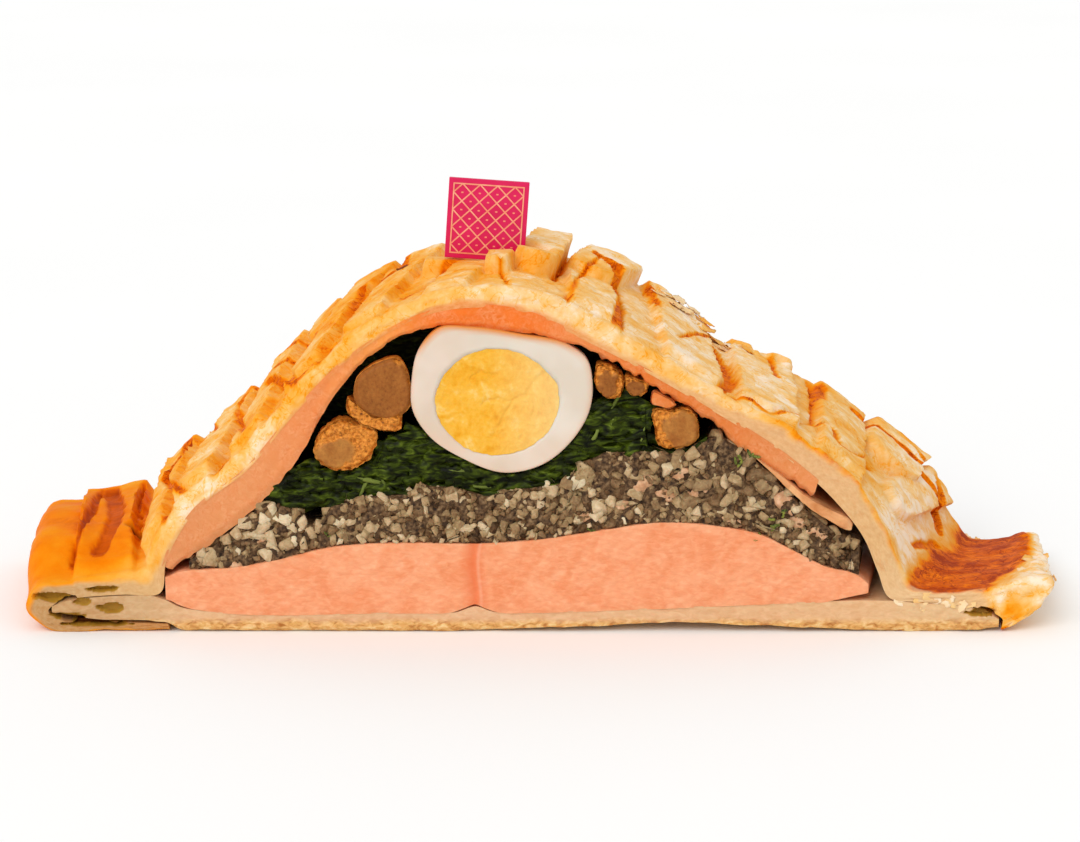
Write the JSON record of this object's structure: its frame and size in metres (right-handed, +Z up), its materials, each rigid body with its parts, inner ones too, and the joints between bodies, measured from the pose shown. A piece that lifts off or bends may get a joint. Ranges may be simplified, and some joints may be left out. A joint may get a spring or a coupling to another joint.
{
  "type": "coulibiac slice",
  "caption": "Thick slice of coulibiac: a domed pastry lid on a flat base over layers of salmon, mushroom mince, spinach, mushrooms and boiled egg, with a small plaque on top.",
  "frame": {"origin": "the middle of the slice's footprint, on the surface that it rests on", "axes": "+X along the slice from its thick left rim to its right rim, +Y from the front cut to the back cut, +Z up"},
  "size_m": [0.2991, 0.0717, 0.1209],
  "materials": {
    "crust": "satin",
    "dough": "matte",
    "salmon": "satin",
    "lining": "satin",
    "mince": "matte",
    "greens": "satin",
    "egg_white": "satin",
    "egg_yolk": "matte",
    "mushroom": "satin",
    "plaque": "gloss"
  },
  "bodies": {
    "root": {"pastry_lid": "crust", "pastry_base": "dough", "salmon_lining": "lining", "salmon_fillet": "salmon", "mushroom_mince": "mince", "spinach": "greens", "egg_white_front": "egg_white", "egg_white_back": "egg_white", "egg_yolk_front": "egg_yolk", "egg_yolk_back": "egg_yolk", "mushroom_cup_front": "mushroom", "mushroom_cup_back": "mushroom", "mushroom_ragged_front": "mushroom", "mushroom_ragged_back": "mushroom", "mushroom_stem_front": "mushroom", "mushroom_stem_back": "mushroom", "mushroom_small_front": "mushroom", "mushroom_small_back": "mushroom", "mushroom_middle_front": "mushroom", "mushroom_middle_back": "mushroom", "mushroom_square_front": "mushroom", "mushroom_square_back": "mushroom", "salmon_flake_front": "lining", "salmon_flake_back": "lining", "salmon_curl_front": "lining", "salmon_curl_back": "lining", "plaque": "plaque"}
  },
  "joints": []
}
